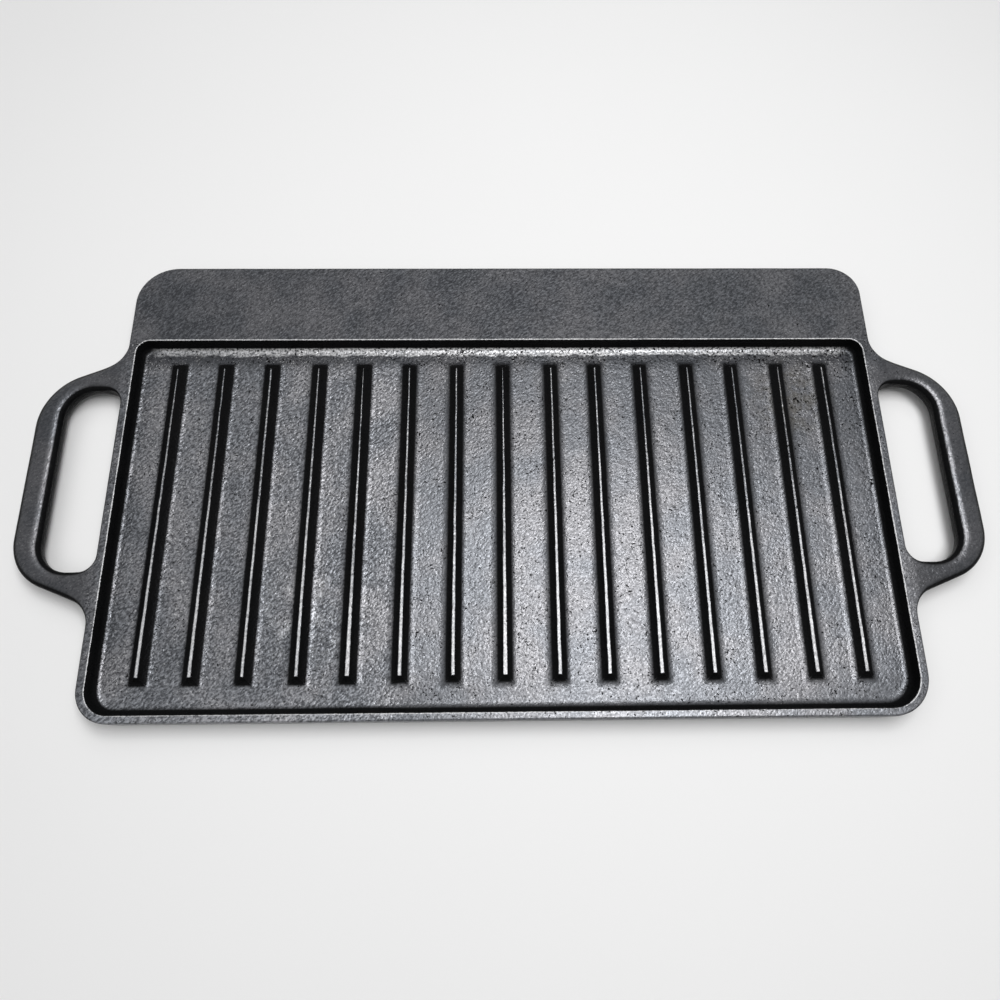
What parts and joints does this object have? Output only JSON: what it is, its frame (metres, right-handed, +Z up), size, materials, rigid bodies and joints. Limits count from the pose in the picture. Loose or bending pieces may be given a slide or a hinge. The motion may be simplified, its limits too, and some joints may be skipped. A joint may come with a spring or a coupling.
{
  "type": "reversible griddle",
  "caption": "Long rectangular cast-iron griddle, ribbed in a rimmed recess on one side and smooth on the other, with a flat back ledge and loop handles.",
  "frame": {"origin": "centre of the object's box in X and Y, on the plane that it rests on with its ribs up", "axes": "+X to the right along the length, from handle to handle; +Y from the front rim to the back ledge; +Z up, out of the ribbed side"},
  "size_m": [0.5062, 0.254, 0.0155],
  "materials": {
    "floor_iron": "seasoned, sand-cast grain, satin",
    "rim_iron": "seasoned, worn bright along the inner edge",
    "ledge_iron": "seasoned, fine grain, satin",
    "rib_iron": "seasoned, worn bright along the crest",
    "handle_iron": "seasoned, smooth, semi-gloss"
  },
  "bodies": {
    "root": {"griddle_plate": "floor_iron", "front_rim": "rim_iron", "left_front_corner": "rim_iron", "right_front_corner": "rim_iron", "left_rim": "rim_iron", "right_rim": "rim_iron", "back_wall": "ledge_iron", "back_ledge": "ledge_iron", "trough_wall": "ledge_iron", "left_handle": "handle_iron", "right_handle": "handle_iron", "rib_01": "rib_iron", "rib_02": "rib_iron", "rib_03": "rib_iron", "rib_04": "rib_iron", "rib_05": "rib_iron", "rib_06": "rib_iron", "rib_07": "rib_iron", "rib_08": "rib_iron", "rib_09": "rib_iron", "rib_10": "rib_iron", "rib_11": "rib_iron", "rib_12": "rib_iron", "rib_13": "rib_iron", "rib_14": "rib_iron", "rib_15": "rib_iron"}
  },
  "joints": []
}
